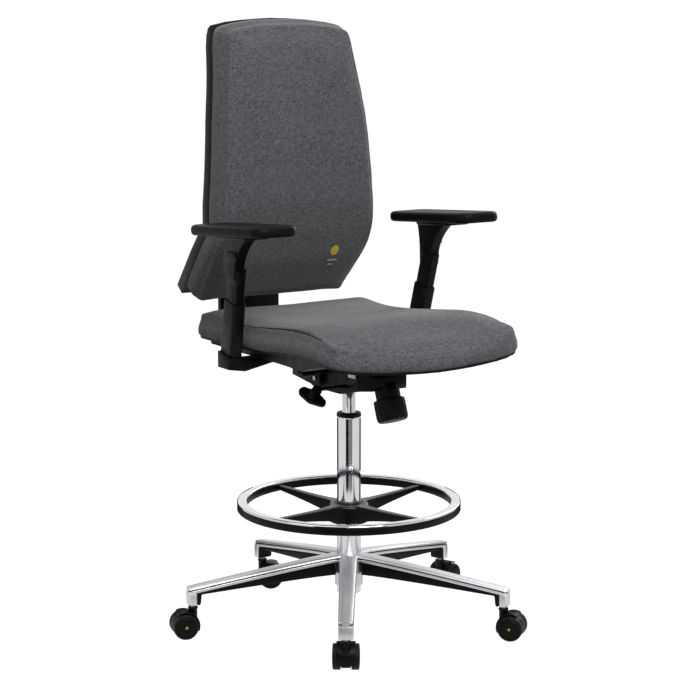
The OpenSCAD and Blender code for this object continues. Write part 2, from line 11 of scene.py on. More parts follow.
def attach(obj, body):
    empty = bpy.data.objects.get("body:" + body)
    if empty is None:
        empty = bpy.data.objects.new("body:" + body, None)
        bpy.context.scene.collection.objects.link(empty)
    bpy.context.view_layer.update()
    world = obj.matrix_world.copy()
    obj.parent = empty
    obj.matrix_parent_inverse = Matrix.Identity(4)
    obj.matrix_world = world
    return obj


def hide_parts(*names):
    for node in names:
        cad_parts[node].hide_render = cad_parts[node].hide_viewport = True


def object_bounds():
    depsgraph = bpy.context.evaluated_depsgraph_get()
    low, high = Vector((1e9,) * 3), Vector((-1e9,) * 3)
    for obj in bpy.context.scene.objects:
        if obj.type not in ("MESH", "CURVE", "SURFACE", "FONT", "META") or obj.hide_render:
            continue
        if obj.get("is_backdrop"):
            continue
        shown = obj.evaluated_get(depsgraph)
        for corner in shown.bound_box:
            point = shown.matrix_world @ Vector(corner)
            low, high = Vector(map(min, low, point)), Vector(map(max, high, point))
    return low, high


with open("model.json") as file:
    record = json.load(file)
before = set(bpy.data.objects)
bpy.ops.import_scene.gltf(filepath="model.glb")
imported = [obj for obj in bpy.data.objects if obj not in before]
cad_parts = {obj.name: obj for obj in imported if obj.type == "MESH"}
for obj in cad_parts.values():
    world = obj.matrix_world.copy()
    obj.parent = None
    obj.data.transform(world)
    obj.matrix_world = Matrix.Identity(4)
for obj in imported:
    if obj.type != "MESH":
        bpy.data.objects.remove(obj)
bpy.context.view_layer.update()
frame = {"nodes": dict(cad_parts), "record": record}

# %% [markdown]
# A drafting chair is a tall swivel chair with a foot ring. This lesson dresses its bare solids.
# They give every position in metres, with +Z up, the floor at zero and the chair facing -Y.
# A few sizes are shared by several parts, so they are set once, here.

MM = 0.001
LEG_WAYS = [-123, 165, 93, 21, -51]
LEG_END = 345
STEM_AT = 0.334
SPOKE_TURN = 13
scene = bpy.context.scene

# %% [markdown]
# A mesh can be modelled by hand, cut from blocks or built from numbers. Numbers are used here,
# since they put each part exactly where its solid is. The first helpers make a mesh, smooth it,
# apply its modifiers and round its edges, because no real edge is perfectly sharp.

# %% Mesh helpers
def placed(name, data):
    """A new object in the scene that carries a mesh, a light or a camera."""
    piece = bpy.data.objects.new(name, data)
    scene.collection.objects.link(piece)
    return piece


def tidied(mesh, distance, flat_degrees=None):
    """Merges points that coincide, may make flat faces whole, and turns every face outwards."""
    tidy = bmesh.new()
    tidy.from_mesh(mesh)
    bmesh.ops.remove_doubles(tidy, verts=tidy.verts, dist=distance)
    if flat_degrees:
        flat = math.radians(flat_degrees)
        bmesh.ops.dissolve_limit(tidy, angle_limit=flat, verts=tidy.verts, edges=tidy.edges)
    bmesh.ops.recalc_face_normals(tidy, faces=tidy.faces)
    tidy.to_mesh(mesh)
    tidy.free()


def new_piece(name, verts, faces, material, matrix=None):
    mesh = bpy.data.meshes.new(name)
    mesh.from_pydata([Vector(v) for v in verts], [], faces)
    if matrix is not None:
        mesh.transform(matrix)
    mesh.materials.append(material)
    tidied(mesh, 1e-6)
    piece = placed(name, mesh)
    smooth(piece)
    return piece


def smooth(piece, degrees=40):
    for face in piece.data.polygons:
        face.use_smooth = True
    piece.data.set_sharp_from_angle(angle=math.radians(degrees))


def apply_modifiers(piece):
    depsgraph = bpy.context.evaluated_depsgraph_get()
    depsgraph.update()
    made = bpy.data.meshes.new_from_object(piece.evaluated_get(depsgraph))
    piece.modifiers.clear()
    piece.data = made


def bevelled(piece, width, segments=3, angle=30):
    cut = piece.modifiers.new("rounded_edges", "BEVEL")
    cut.width = width
    cut.segments = segments
    cut.limit_method = "ANGLE"
    cut.angle_limit = math.radians(angle)
    cut.harden_normals = False
    apply_modifiers(piece)
    smooth(piece, 50)
    return piece


# %% [markdown]
# Most parts of a chair are turned, extruded or moulded. A lathe spins a profile for the turned
# ones, a loft joins a row of sections for the moulded ones, and a prism runs an outline straight.

# %% Lathe, loft and prism
def lathe(name, profile, material, steps=96, matrix=None):
    """Spins a profile of (r, z) points in mm round the z axis."""
    verts, faces = [], []
    count = len(profile)
    for i in range(steps):
        a = 2 * math.pi * i / steps
        for r, z in profile:
            verts.append((r * MM * math.cos(a), r * MM * math.sin(a), z * MM))
    for i in range(steps):
        j = (i + 1) % steps
        for k in range(count - 1):
            faces.append((i * count + k, j * count + k, j * count + k + 1, i * count + k + 1))
    return new_piece(name, verts, faces, material, matrix)


def loft(name, sections, material, matrix=None):
    """Joins a row of closed sections, given in mm, with faces and caps both ends."""
    count = len(sections[0])
    verts = [Vector(p) * MM for section in sections for p in section]
    faces = []
    for i in range(len(sections) - 1):
        for k in range(count):
            n = (k + 1) % count
            a, b = i * count, (i + 1) * count
            faces.append((a + k, a + n, b + n, b + k))
    faces.append(tuple(range(count)))
    faces.append(tuple(range(len(verts) - count, len(verts))))
    return new_piece(name, verts, faces, material, matrix)


def prism(name, outline, low, high, material, matrix=None):
    """An outline of (y, z) points in mm, run along x from low to high in mm."""
    ends = [[(x, y, z) for y, z in outline] for x in (low, high)]
    return loft(name, ends, material, matrix=matrix)


def joined(name, pieces):
    bpy.ops.object.select_all(action="DESELECT")
    for piece in pieces:
        piece.select_set(True)
    bpy.context.view_layer.objects.active = pieces[0]
    bpy.ops.object.join()
    pieces[0].name = name
    return pieces[0]


def curve_points(a, b, c, steps):
    """Points on the quadratic curve from a to c, pulled towards b."""
    made = []
    for i in range(steps + 1):
        t = i / steps
        made.append(tuple((1 - t) ** 2 * p + 2 * t * (1 - t) * q + t * t * r for p, q, r in zip(a, b, c)))
    return made


def height_on(curve, x):
    """The height of a run of (x, z) points at x, held level past both ends."""
    return np.interp(x, *zip(*sorted(curve)))


def rounded(width, depth, radius, steps=6):
    """A rectangle with round corners, centred, as (x, y) points."""
    points = []
    for cx, cy, start in ((1, 1, 0), (-1, 1, 90), (-1, -1, 180), (1, -1, 270)):
        for i in range(steps + 1):
            a = math.radians(start + 90 * i / steps)
            x = cx * (width / 2 - radius) + radius * math.cos(a)
            y = cy * (depth / 2 - radius) + radius * math.sin(a)
            points.append((x, y))
    return points


def both_sides(half):
    """A half outline and its mirror image, as one closed run of points."""
    return half + [(-y, z) for y, z in reversed(half)]


def about(axis, degrees):
    return Matrix.Rotation(math.radians(degrees), 4, axis)


def at(x, y, z):
    return Matrix.Translation((x, y, z))


def cover(piece, material):
    piece.data.materials.clear()
    piece.data.materials.append(material)


def finish_piece(piece, body, slot, *nodes):
    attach(piece, body)
    if nodes:
        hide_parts(*nodes)
    return piece


# %% [markdown]
# A paint chart gives colours as sRGB hex, but a renderer counts in linear light, so one function
# turns one into the other. A finish could be painted on as an image. Nodes are used instead,
# because their grain stays sharp at any distance, and one helper adds each node with its links.

# %% Material helpers
def linear(code):
    channels = [int(code[i : i + 2], 16) / 255 for i in (1, 3, 5)]
    made = [c / 12.92 if c <= 0.04045 else ((c + 0.055) / 1.055) ** 2.4 for c in channels]
    return (*made, 1.0)


def add_node(tree, kind, links=None, values=None, **settings):
    made = tree.nodes.new(kind)
    for key, value in settings.items():
        setattr(made, key, value)
    for key, value in (values or {}).items():
        made.inputs[key].default_value = value
    for key, source in (links or {}).items():
        tree.links.new(source, made.inputs[key])
    return made


def start_material(name):
    material = bpy.data.materials.new(name)
    material.use_nodes = True
    tree = material.node_tree
    tree.nodes.clear()
    place = add_node(tree, "ShaderNodeTexCoord").outputs["Object"]
    return material, tree, place


def end_material(tree, links, values):
    shader = add_node(tree, "ShaderNodeBsdfPrincipled", links, values)
    out = add_node(tree, "ShaderNodeOutputMaterial")
    tree.links.new(shader.outputs["BSDF"], out.inputs["Surface"])


def noise(tree, place, size_mm, detail=2.0, rough=0.5):
    """Noise whose grains are about size_mm across."""
    values = {"Scale": 1.0 / (size_mm * MM), "Detail": detail, "Roughness": rough}
    return add_node(tree, "ShaderNodeTexNoise", {"Vector": place}, values).outputs["Fac"]


def remap(tree, source, low, high, out_low, out_high):
    values = {"From Min": low, "From Max": high, "To Min": out_low, "To Max": out_high}
    return add_node(tree, "ShaderNodeMapRange", {"Value": source}, values).outputs["Result"]


def bump(tree, height, depth_mm, strength=1.0, normal=None):
    links = {"Height": height}
    if normal is not None:
        links["Normal"] = normal
    values = {"Strength": strength, "Distance": depth_mm * MM}
    return add_node(tree, "ShaderNodeBump", links, values).outputs["Normal"]


def stretched(tree, place, scale):
    values = {"Scale": scale}
    return add_node(tree, "ShaderNodeMapping", {"Vector": place}, values).outputs["Vector"]


def tinted(tree, factor, low, high):
    """Runs from the colour low to the colour high as factor runs from 0 to 1."""
    made = add_node(tree, "ShaderNodeMix", {"Factor": factor}, None, data_type="RGBA")
    made.inputs["A"].default_value = linear(low)
    made.inputs["B"].default_value = linear(high)
    return made.outputs["Result"]


# %% [markdown]
# Three recipes cover the chair: a moulded or painted skin, a bare or plated metal, and a cloth.
# Moulded plastic copies the spark-eroded grain of its tool, under a millimetre across. Metal keeps
# long, shallow waves from polishing and faint marks from wiping.

# %% Plastic and metal recipes
def moulded(name, low, high, roughness, grain_mm=0.9, grain_depth=0.05, shine=0.25):
    """A moulded plastic or a paint: fine grain, a slow drift in colour and in roughness."""
    material, tree, place = start_material(name)
    drift = noise(tree, place, 45, 3)
    grain = noise(tree, place, grain_mm, 1)
    colour = tinted(tree, drift, low, high)
    rough = remap(tree, noise(tree, place, 16, 4), 0.3, 0.7, roughness - 0.06, roughness + 0.07)
    normal = bump(tree, grain, grain_depth)
    links = {"Base Color": colour, "Roughness": rough, "Normal": normal}
    values = {"IOR": 1.5, "Specular IOR Level": shine}
    end_material(tree, links, values)
    return material


def metal(name, low, high, roughness, wave_mm=30, wave_depth=0.02, wiped=0.3):
    """A bare or plated metal: slow waves in the surface and faint wiping marks."""
    material, tree, place = start_material(name)
    drift = noise(tree, place, 60, 3)
    colour = tinted(tree, drift, low, high)
    marks = noise(tree, stretched(tree, place, (1, 1, 9)), 2.5, 3)
    rough = remap(tree, marks, 0.3, 0.7, roughness * (1 - wiped), roughness * (1 + wiped))
    normal = bump(tree, noise(tree, place, wave_mm, 1), wave_depth)
    links = {"Base Color": colour, "Roughness": rough, "Normal": normal}
    end_material(tree, links, {"Metallic": 1.0})
    return material


# %% [markdown]
# The cloth is a melange: pale and dark fibres are spun together, then woven plain. Threads of
# such cloth lie about 0.7 mm apart. That is too fine to show, so the weave is drawn at 1.5 mm and
# the flecks at 2 mm. Slubs, the thick places in a yarn, stretch along both threads.

# %% Cloth recipe
def woven(name, low, high, pitch_mm=1.5):
    """Plain weave: two sets of threads, with slubs, a soft sheen and a slow drift in tone."""
    material, tree, place = start_material(name)
    wave = {"Scale": 2 * math.pi / (20 * pitch_mm * MM), "Distortion": 0.6, "Detail": 1.0}
    threads = []
    for way in ("X", "Z"):
        made = add_node(tree, "ShaderNodeTexWave", {"Vector": place}, wave, bands_direction=way)
        threads.append(made.outputs["Fac"])
    weave = add_node(tree, "ShaderNodeMath", {0: threads[0], 1: threads[1]}, None, operation="MULTIPLY")
    slub_across = noise(tree, stretched(tree, place, (0.2, 0.2, 1)), 2.0, 2)
    slub_along = noise(tree, stretched(tree, place, (1, 1, 0.2)), 2.0, 2)
    slubs = add_node(tree, "ShaderNodeMath", {0: slub_across, 1: slub_along}, None, operation="ADD")
    melange = noise(tree, place, 2.0, 2, 0.6)
    both = add_node(tree, "ShaderNodeMath", {0: slubs.outputs[0], 1: melange}, None, operation="ADD")
    tone = remap(tree, both.outputs[0], 1.2, 1.8, 0.0, 1.0)
    drift = remap(tree, noise(tree, place, 90, 2), 0.0, 1.0, 0.35, 0.65)
    mixed = add_node(tree, "ShaderNodeMath", {0: tone, 1: drift}, None, operation="ADD")
    colour = tinted(tree, remap(tree, mixed.outputs[0], 0.45, 1.55, 0.0, 1.0), low, high)
    yarn = bump(tree, weave.outputs[0], 0.35, 0.6)
    normal = bump(tree, both.outputs[0], 0.5, 0.5, yarn)
    values = {"Roughness": 0.92, "Sheen Weight": 0.35, "Sheen Roughness": 0.45, "Specular IOR Level": 0.25}
    end_material(tree, {"Base Color": colour, "Normal": normal}, values)
    return material


# %% [markdown]
# Each material is named for what the real part is made of. Its two colours are the ends of its
# slow drift, and its roughness starts from a typical value for that finish. The comment on each
# one says what its making gives the eye. A metal keeps the default IOR.

# %% Materials
# Polyester melange, woven plain: matt and flecked, with a faint sheen where it turns away.
grey_weave = woven("woven_grey_polyester", "#37383a", "#68696d")
# Aluminium, cast, linished and lacquered: bright, with soft reflections.
cast_aluminium = metal("polished_cast_aluminium", "#dcdde0", "#eeeff1", 0.46, 60, 0.01, 0.06)
# Chromium plated on drawn tube: close to a mirror, with long shallow waves.
chrome_plate = metal("chrome_plated_steel", "#dcdde0", "#f2f3f5", 0.1, 80, 0.01, 0.15)
# Zinc plated on pins and screws: greyer and duller than chromium.
plain_steel = metal("zinc_plated_steel", "#9a9da3", "#b9bcc2", 0.32, 12, 0.02)
# Graphite paint, sprayed on the spider: smooth, with a broad shine. Only its upper faces get it here; the
# black on its sides and undersides is painted shade.
satin_paint = moulded("satin_graphite_paint", "#2c2d30", "#38393d", 0.34, 0.5, 0.02, 0.5)
# Nylon with glass fibre, moulded: black, with a fine grain that breaks up its weak shine.
black_nylon = moulded("black_glass_filled_nylon", "#060607", "#0c0c0e", 0.4, 0.8, 0.05, 0.14)
# Powder, baked on steel: black and faintly dimpled.
black_powder = moulded("black_powder_coated_steel", "#060607", "#0b0b0d", 0.44, 1.2, 0.06, 0.12)
# Foam moulded with its own skin: a soft black.
soft_skin = moulded("black_integral_skin_foam", "#050506", "#0a0a0c", 0.46, 0.7, 0.05, 0.1)
# Nylon treads: charcoal, scuffed matt by the floor.
tyre_nylon = moulded("charcoal_castor_tread", "#0f0f11", "#1a1b1d", 0.5, 0.9, 0.05, 0.16)
# Ink printed with a pad on the castor caps, and three threads: twisted, so rough and matt.
yellow_print = moulded("yellow_pad_print", "#a8a04a", "#c4bc62", 0.5, 0.5, 0.02)
yellow_thread = moulded("yellow_stitched_thread", "#b8a520", "#dccb3c", 0.7, 0.5, 0.2)
pale_thread = moulded("pale_grey_stitched_thread", "#a8a9ac", "#cbccce", 0.7, 0.5, 0.2)
# The seam thread is real, and its dark colour is partly painted shade in the seat's seam crease.
seam_thread_and_painted_shade = moulded("dark_seam_thread_and_painted_shade", "#26272a", "#37383c", 0.8, 0.4, 0.15)
print("materials:", sorted(m.name for m in bpy.data.materials))

# %% [markdown]
# Parts that stay as plain solids, such as pins and screws, need a finish too. Every solid names
# a slot for its material, so a table gives each slot its finish.

# %% Finish of the plain solids
SLOT_MATERIALS = {
    "alloy": cast_aluminium,
    "chrome": chrome_plate,
    "steel": plain_steel,
    "fabric": grey_weave,
    "satin_grey": satin_paint,
    "soft_pad": soft_skin,
    "wheel_tread": tyre_nylon,
    "black_metal": black_powder,
    "black_plastic": black_nylon,
}
for part in frame["record"]["subparts"]:
    cover(frame["nodes"][part["node"]], SLOT_MATERIALS[part["material_slot"]])

# %% [markdown]
# A cushion is foam on a backing, under a cover that is sewn a little too small. It could be
# sculpted by eye. Here it starts as a copy of its solid, made of even quads, because cloth needs
# quads of one size to fold and stretch alike everywhere.

# %% Copy for a soft part
def copy_of(node, name, voxel_mm, eased):
    """A copy of a solid with even quads and softened edges."""
    mesh = frame["nodes"][node].data.copy()
    tidied(mesh, 1e-5)
    piece = placed(name, mesh)
    even = piece.modifiers.new("even_quads", "REMESH")
    even.mode = "VOXEL"
    even.voxel_size = voxel_mm * MM
    ease = piece.modifiers.new("eased_edges", "SMOOTH")
    ease.factor = 0.5
    ease.iterations = eased
    apply_modifiers(piece)
    return piece


# %% [markdown]
# The crown of a cushion comes from the tight cover pressing on the foam. Cloth under a light
# inner pressure gives it. The skin starts slightly small, is pinned near the backing and swells,
# and what the cloth gives is capped and evened out, so that no pucker is left.

# %% Cloth under pressure
CUSHION_VOXEL = 5
PRESSURE = 4.0
TUCK, FILL, CROWN = 2 * MM, 2.5 * MM, 7 * MM


def shrink(piece, free, depth, fill):
    """Draws the loose skin in and fills out the fixed skin; free(point) runs from 0, fixed, to 1."""
    moves = [v.normal * (fill - (depth + fill) * free(v.co)) for v in piece.data.vertices]
    for vertex, move in zip(piece.data.vertices, moves):
        vertex.co += move


def spread(piece, values, rounds):
    """Evens out one value per vertex over its neighbours."""
    count = len(piece.data.vertices)
    ends = np.array([edge.vertices[:] for edge in piece.data.edges])
    near = np.bincount(ends.ravel(), minlength=count)
    for _ in range(rounds):
        total = np.bincount(ends[:, 0], values[ends[:, 1]], count)
        total += np.bincount(ends[:, 1], values[ends[:, 0]], count)
        values = 0.5 * values + 0.5 * total / near
    return values


def inflate(piece, free, pressure, cap, rounds=24, steps=20):
    """Cloth under pressure lifts the skin, by at most cap, and leaves the fixed skin in place."""
    group = piece.vertex_groups.new(name="backing")
    for vertex in piece.data.vertices:
        group.add([vertex.index], 1 - free(vertex.co), "REPLACE")
    cloth = piece.modifiers.new("upholstery", "CLOTH")
    settings = cloth.settings
    settings.use_pressure = True
    settings.uniform_pressure_force = pressure
    settings.effector_weights.gravity = 0.0
    settings.quality = 5
    settings.tension_stiffness = 12
    settings.compression_stiffness = 12
    settings.shear_stiffness = 5
    settings.bending_stiffness = 0.8
    settings.vertex_group_mass = "backing"
    cloth.collision_settings.use_collision = False
    cloth.point_cache.frame_start = 1
    cloth.point_cache.frame_end = steps
    for step in range(1, steps + 1):
        scene.frame_set(step)
    depsgraph = bpy.context.evaluated_depsgraph_get()
    moved = [v.co.copy() for v in piece.evaluated_get(depsgraph).data.vertices]
    piece.modifiers.clear()
    scene.frame_set(1)
    normals = [v.normal.copy() for v in piece.data.vertices]
    lift = [(m - v.co).dot(n) for m, v, n in zip(moved, piece.data.vertices, normals)]
    lift = spread(piece, np.clip(np.array(lift), -cap, cap), rounds)
    for vertex, normal, step in zip(piece.data.vertices, normals, lift):
        vertex.co += normal * float(step)
    print(piece.name, "lift in mm:", round(float(lift.min()) / MM, 1), round(float(lift.max()) / MM, 1))


# %% [markdown]
# Voxels leave steps along a slanted edge. So each vertex is moved to the wanted form, which is
# written as a distance: below zero inside, above zero outside. The meeting of several walls can
# be rounded by one formula, as foam under a cover is.

# %% Forms with round edges
def from_line(points, line):
    """Signed distances in mm of 2-D points from an open run of points: positive on its left."""
    line = np.array(line, float)
    starts, steps = line[:-1], np.diff(line, axis=0)
    offset = points[:, None, :] - starts[None]
    along = np.clip((offset * steps).sum(2) / (steps ** 2).sum(1), 0, 1)
    away = offset - along[..., None] * steps
    far = np.hypot(away[..., 0], away[..., 1])
    nearest = far.argmin(1)
    rows = np.arange(len(points))
    turn = steps[nearest, 0] * offset[rows, nearest, 1] - steps[nearest, 1] * offset[rows, nearest, 0]
    return far[rows, nearest] * np.sign(turn)


def rounded_meeting(walls, radius):
    """Distance from the solid inside every wall, with its edges rounded."""
    past = np.stack(walls, 1) + radius
    return np.linalg.norm(np.maximum(past, 0), axis=1) + np.minimum(past.max(1), 0) - radius


def settle(piece, distance, rounds=6):
    """Evens the vertices out and moves each along its normal until it lies on the wanted form."""
    count = len(piece.data.vertices)
    for _ in range(rounds):
        places, normals = np.empty(3 * count), np.empty(3 * count)
        piece.data.vertices.foreach_get("co", places)
        piece.data.vertices.foreach_get("normal", normals)
        places, normals = places.reshape(-1, 3), normals.reshape(-1, 3)
        places = np.stack([spread(piece, places[:, axis], 1) for axis in range(3)], 1)
        places -= normals * (distance(places / MM) * MM)[:, None]
        piece.data.vertices.foreach_set("co", places.ravel())
        piece.data.update()


def upholster(piece, free):
    shrink(piece, free, TUCK, FILL)
    inflate(piece, free, PRESSURE, CROWN)
    finer = piece.modifiers.new("finer", "SUBSURF")
    finer.levels = 1
    finer.render_levels = 1
    apply_modifiers(piece)
    smooth(piece, 180)


def between(value, low, high):
    """0 at low, 1 at high and a smooth rise between."""
    t = min(max((value - low) / (high - low), 0.0), 1.0)
    return t * t * (3 - 2 * t)


# %% [markdown]
# Where two panels of cloth are sewn together the thread pulls the foam in. A seam here is a run
# of points: the skin is pressed in along it, and a thin thread can be laid in the groove.

# %% Seams
def fine_line(points, step=0.006):
    """The same run of points, filled in so that no gap is longer than step."""
    made = []
    for start, end in zip(points, points[1:]):
        count = max(1, int((Vector(end) - Vector(start)).length / step))
        made += [Vector(start).lerp(Vector(end), i / count) for i in range(count)]
    return made + [Vector(points[-1])]


def pressed_line(piece, points, depth, width):
    """Presses a soft line into a piece, as a seam does, along a run of points."""
    dense = fine_line(points, 0.002)
    tree = KDTree(len(dense))
    for i, point in enumerate(dense):
        tree.insert(point, i)
    tree.balance()
    normals = [v.normal.copy() for v in piece.data.vertices]
    for vertex, normal in zip(piece.data.vertices, normals):
        _, _, far = tree.find(vertex.co)
        if far < 3 * width:
            vertex.co -= normal * depth * math.exp(-((far / width) ** 2))


def lying_on(piece, points, lift=0.0):
    """The points moved to the nearest place on a piece's skin."""
    made = []
    for point in points:
        _, nearest, normal, _ = piece.closest_point_on_mesh(Vector(point))
        made.append(nearest + normal * lift)
    return made


def thread_along(name, points, radius, material, sides=8):
    """A round thread that follows a run of points."""
    sections = []
    for i, point in enumerate(points):
        ahead = points[min(i + 1, len(points) - 1)]
        behind = points[max(i - 1, 0)]
        way = (ahead - behind).normalized()
        across = way.cross(Vector((0, 0, 1)) if abs(way.z) < 0.9 else Vector((1, 0, 0))).normalized()
        up = across.cross(way)
        ring = []
        for k in range(sides):
            a = 2 * math.pi * k / sides
            ring.append((point + radius * (math.cos(a) * across + math.sin(a) * up)) / MM)
        sections.append(ring)
    return loft(name, sections, material)


# %% [markdown]
# The back cushion is one deep foam pad with a lumbar bend low down and a nearly straight face
# above it. A line in the side view and a width at each height say all of its form, so these
# runs of numbers are what a maker would cut the foam from.

# %% Back cushion form
BACK_LINE = [(319, 643), (272, 696)]
BACK_LINE += curve_points((212, 764), (188, 791), (187, 828), 8)
BACK_LINE += curve_points((187, 920), (190, 1040), (208, 1145), 12)
BACK_LINE += [(241, 1290)]
BACK_DEPTHS = [(z, y) for y, z in BACK_LINE]
BACK_WIDTHS = [(630, 166), (655, 182), (760, 188), (860, 188), (1040, 175)]
BACK_WIDTHS += [(z, x - 2) for x, z in curve_points((163, 1160), (158, 1226), (144, 1231), 6)]
BACK_TOP = [(-200, 1215), (-144, 1229), (-110, 1236), (-60, 1242), (0, 1243)]
BACK_TOP += [(-x, z) for x, z in BACK_TOP[-2::-1]]
BACK_FOOT, FOOT_WAY = (319, 643), (-0.664, 0.748)
BACK_EDGE_R = 11
REAR_EDGE_R = 3
SHELL_DEPTH = 65


def back_form(places):
    """The wanted back cushion: wide, front, rear, top and lower walls with round edges."""
    x, y, z = places.T
    depth = -from_line(np.stack([y, z], 1), BACK_LINE)
    side = np.abs(x) - height_on(BACK_WIDTHS, z)
    foot = -((y - BACK_FOOT[0]) * FOOT_WAY[0] + (z - BACK_FOOT[1]) * FOOT_WAY[1])
    block = rounded_meeting([side, -depth, z - height_on(BACK_TOP, x), foot], BACK_EDGE_R)
    return rounded_meeting([block, depth - SHELL_DEPTH], REAR_EDGE_R)


# %% [markdown]
# The cover is drawn over the foam and stapled to the backing, so it is free on the face and fixed
# behind. After the cloth has swelled, a seam is pressed in down each side of the face.

# %% Back cushion
back_cushion = copy_of("back_cushion", "back_upholstery", CUSHION_VOXEL, 6)
settle(back_cushion, back_form)


def back_free(point):
    """The cover is free for 20 mm behind its face and fixed from 42 mm on."""
    return 1 - between(point.y / MM - height_on(BACK_DEPTHS, point.z / MM), 20, 42)


upholster(back_cushion, back_free)
SEAM_LOW, SEAM_HIGH = 668, 1190
for sign in (1, -1):
    line = []
    for z in np.linspace(SEAM_LOW, SEAM_HIGH, 31):
        across = sign * (height_on(BACK_WIDTHS, z) - BACK_EDGE_R)
        line.append((across * MM, (height_on(BACK_DEPTHS, z) + 2) * MM, z * MM))
    pressed_line(back_cushion, lying_on(back_cushion, line), 2.0 * MM, 4 * MM)
cover(back_cushion, grey_weave)
finish_piece(back_cushion, "backrest", "fabric", "back_cushion")
print("back cushion vertices:", len(back_cushion.data.vertices))

# %% [markdown]
# The seat has a saddle: it is low at the middle of its depth, with a raised roll in front, so
# that the sitter does not slide off. Its form is a plan, a crown line in the side view and the
# line where the cushion meets the pan.

# %% Seat cushion form
PAN_SEAM = curve_points((284, 594), (150, 590), (30, 595), 5)
PAN_SEAM += curve_points((0, 597), (-110, 609), (-200, 613), 5)
PAN_SEAM += curve_points((-225, 613.5), (-290, 610), (-330, 587), 6)
SEAT_CROWN = curve_points((-330, 604), (-318, 640), (-275, 652), 6)
SEAT_CROWN += curve_points((-240, 659), (-180, 668), (-120, 660), 5)
SEAT_CROWN += curve_points((0, 647), (130, 636), (240, 642), 6) + [(272, 640), (284, 622)]
SEAT_PLAN = curve_points((0, -328), (110, -326), (178, -308), 8)
SEAT_PLAN += curve_points((188, -304), (220, -296), (220, -264), 6)
SEAT_PLAN += curve_points((217, -215), (205, -130), (203, -30), 6)
SEAT_PLAN += curve_points((202, 70), (204, 150), (209, 225), 5)
SEAT_PLAN += curve_points((211, 248), (210, 275), (174, 279), 6) + [(0, 283)]
SEAT_PLAN += [(-x, y) for x, y in SEAT_PLAN[-2::-1]]
SEAT_EDGE_R = 9
PAN_TUCK = 3


def seat_form(places):
    """The wanted seat cushion: an upright wall round its plan, a crowned top and the pan below."""
    x, y, z = places.T
    wall = -from_line(np.stack([x, y], 1), SEAT_PLAN)
    over = from_line(np.stack([y, z], 1), SEAT_CROWN)
    under = height_on(PAN_SEAM, y) - PAN_TUCK - z
    return rounded_meeting([wall, over, under], SEAT_EDGE_R)


# %% [markdown]
# The seat's cover is fixed along the pan and free above it. Its top panel is sewn to its side
# band, so a seam runs along each side with a thread laid in its groove. The thread is real, and its dark
# colour is partly painted shade in the crease.

# %% Seat cushion
seat_cushion = copy_of("seat_cushion", "seat_upholstery", CUSHION_VOXEL, 5)
settle(seat_cushion, seat_form)


def seat_free(point):
    """The cover is fixed up to 12 mm above the pan and free from 34 mm on."""
    return between(point.z / MM - height_on(PAN_SEAM, point.y / MM), 12, 34)


upholster(seat_cushion, seat_free)
SEAM_THREAD_R = 0.9 * MM
TOP_EDGE = [(198, 240, 637), (198, 130, 636), (199, 0, 643)]
TOP_EDGE += [(202, -110, 652), (210, -190, 655), (214, -240, 652)]
for sign in (1, -1):
    edge = [(sign * (x - 1) * MM, y * MM, z * MM) for x, y, z in TOP_EDGE]
    pressed_line(seat_cushion, lying_on(seat_cushion, edge), 2.6 * MM, 4 * MM)
    groove = lying_on(seat_cushion, fine_line(edge))
    # A dark thread lies in each seam's groove: a real thread, and partly painted shade in the crease.
    seam = thread_along("seat_seam", groove, SEAM_THREAD_R, seam_thread_and_painted_shade)
    finish_piece(seam, "seat", "fabric")
cover(seat_cushion, grey_weave)
finish_piece(seat_cushion, "seat", "fabric", "seat_cushion")
print("seat cushion vertices:", len(seat_cushion.data.vertices))

# %% [markdown]
# The shells behind the back and under the seat are injection moulded, and the beams of the tilt
# are pressed or cast and powder coated. Their solids already have the right form, so a copy is
# enough: its flat faces are made whole again and its edges get the small radius of a mould.

# %% Shells and beams
def crisp_copy(node, name, edge_mm, material, slot, body):
    """A copy of a solid with its flat faces made whole and its edges lightly rounded."""
    mesh = frame["nodes"][node].data.copy()
    tidied(mesh, 2e-5, 0.8)
    piece = placed(name, mesh)
    cover(piece, material)
    bevelled(piece, edge_mm * MM, 2, 28)
    return finish_piece(piece, body, slot, node)


MOULDED = [
    ("back_shell", "back_rear_shell", 1.2, black_nylon, "black_plastic", "backrest"),
    ("seat_pan", "seat_moulded_pan", 1.0, black_nylon, "black_plastic", "seat"),
    ("back_cover", "back_lumbar_cover", 1.5, black_nylon, "black_plastic", "backrest"),
    ("mech_housing", "tilt_housing", 1.5, black_powder, "black_metal", "mechanism"),
    ("recline_arm", "recline_beam", 1.5, black_powder, "black_metal", "back_arm"),
    ("back_upright", "back_bar", 1.2, black_powder, "black_metal", "back_arm"),
    ("arm_bracket_left", "arm_carrier_left", 1.5, black_powder, "black_plastic", "seat"),
    ("arm_bracket_right", "arm_carrier_right", 1.5, black_powder, "black_plastic", "seat"),
]
for row in MOULDED:
    crisp_copy(*row)
print("moulded shells:", len(MOULDED))

# %% [markdown]
# The star is one aluminium casting. Each leg has a crowned top, a groove, a pale side strip
# and a boxed tip over the castor's stem. The groove's faces are painted black as painted shade.
# A leg could be extruded, but it tapers and droops, so a loft of sections follows it. The
# stations crowd at the tip, where the plan turns in.

# %% Legs, tips and hub
LEG_TOP = curve_points((20, 150), (75, 147), (LEG_END, 104), 40)
STATIONS = [22, 34, 48, 64, 84, 108, 136, 168, 200, 232, 264, 294, 318, 334]
STATIONS += [340, 342, 343.5, 344.5, LEG_END]
RAIL = 13
TIP_ROUND = 5


def leg_half_width(x):
    past = max(0.0, x - (LEG_END - TIP_ROUND))
    return 19 - 4 * x / LEG_END - (TIP_ROUND - math.sqrt(max(TIP_ROUND ** 2 - past ** 2, 0.0)))


